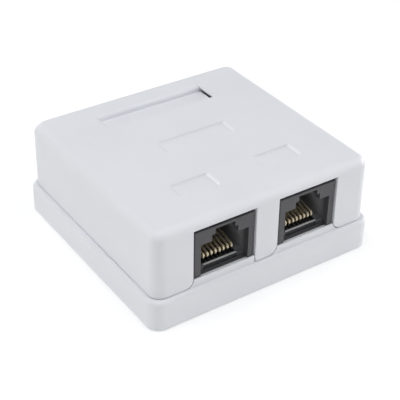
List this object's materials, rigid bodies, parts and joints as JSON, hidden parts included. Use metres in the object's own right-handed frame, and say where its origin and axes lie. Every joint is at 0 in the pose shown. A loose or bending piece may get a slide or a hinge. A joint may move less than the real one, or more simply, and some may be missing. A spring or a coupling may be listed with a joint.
{
  "type": "ethernet wall socket",
  "caption": "Surface-mount network wall socket: shallow tray and clip-on cover around jacks with gold spring contacts, a board and insulation-displacement terminals",
  "frame": {"origin": "centre of the base's flat back, on the wall plane", "axes": "+Z out of the wall and up as it lies, +X to the right when looking at the ports, ports look towards -Y"},
  "size_m": [0.0576, 0.056, 0.0233],
  "materials": {
    "white_plastic": "fine-grained moulded ABS",
    "charcoal_plastic": "satin moulded",
    "black_plastic": "satin moulded",
    "ivory_plastic": "satin moulded",
    "board_laminate": "solder-mask lacquer",
    "gold_wire": "gold-plated spring wire",
    "tinned_bronze": "tin-plated sheet"
  },
  "bodies": {
    "housing": {"base": "white_plastic", "circuit_board": "board_laminate", "jack_housing_left": "charcoal_plastic", "contact_carrier_left": "black_plastic", "terminal_block_left": "ivory_plastic", "jack_contact_left_1": "gold_wire", "jack_contact_left_2": "gold_wire", "jack_contact_left_3": "gold_wire", "jack_contact_left_4": "gold_wire", "jack_contact_left_5": "gold_wire", "jack_contact_left_6": "gold_wire", "jack_contact_left_7": "gold_wire", "jack_contact_left_8": "gold_wire", "terminal_contact_left_1": "tinned_bronze", "terminal_contact_left_2": "tinned_bronze", "terminal_contact_left_3": "tinned_bronze", "terminal_contact_left_4": "tinned_bronze", "terminal_contact_left_5": "tinned_bronze", "terminal_contact_left_6": "tinned_bronze", "terminal_contact_left_7": "tinned_bronze", "terminal_contact_left_8": "tinned_bronze", "jack_housing_right": "charcoal_plastic", "contact_carrier_right": "black_plastic", "terminal_block_right": "ivory_plastic", "jack_contact_right_1": "gold_wire", "jack_contact_right_2": "gold_wire", "jack_contact_right_3": "gold_wire", "jack_contact_right_4": "gold_wire", "jack_contact_right_5": "gold_wire", "jack_contact_right_6": "gold_wire", "jack_contact_right_7": "gold_wire", "jack_contact_right_8": "gold_wire", "terminal_contact_right_1": "tinned_bronze", "terminal_contact_right_2": "tinned_bronze", "terminal_contact_right_3": "tinned_bronze", "terminal_contact_right_4": "tinned_bronze", "terminal_contact_right_5": "tinned_bronze", "terminal_contact_right_6": "tinned_bronze", "terminal_contact_right_7": "tinned_bronze", "terminal_contact_right_8": "tinned_bronze"},
    "cover_body": {"cover": "white_plastic"}
  },
  "joints": [
    {"name": "cover_lift", "type": "slide", "parent": "housing", "child": "cover_body", "axis": [0, 0, 1], "range_m": [0, 0.03]}
  ]
}
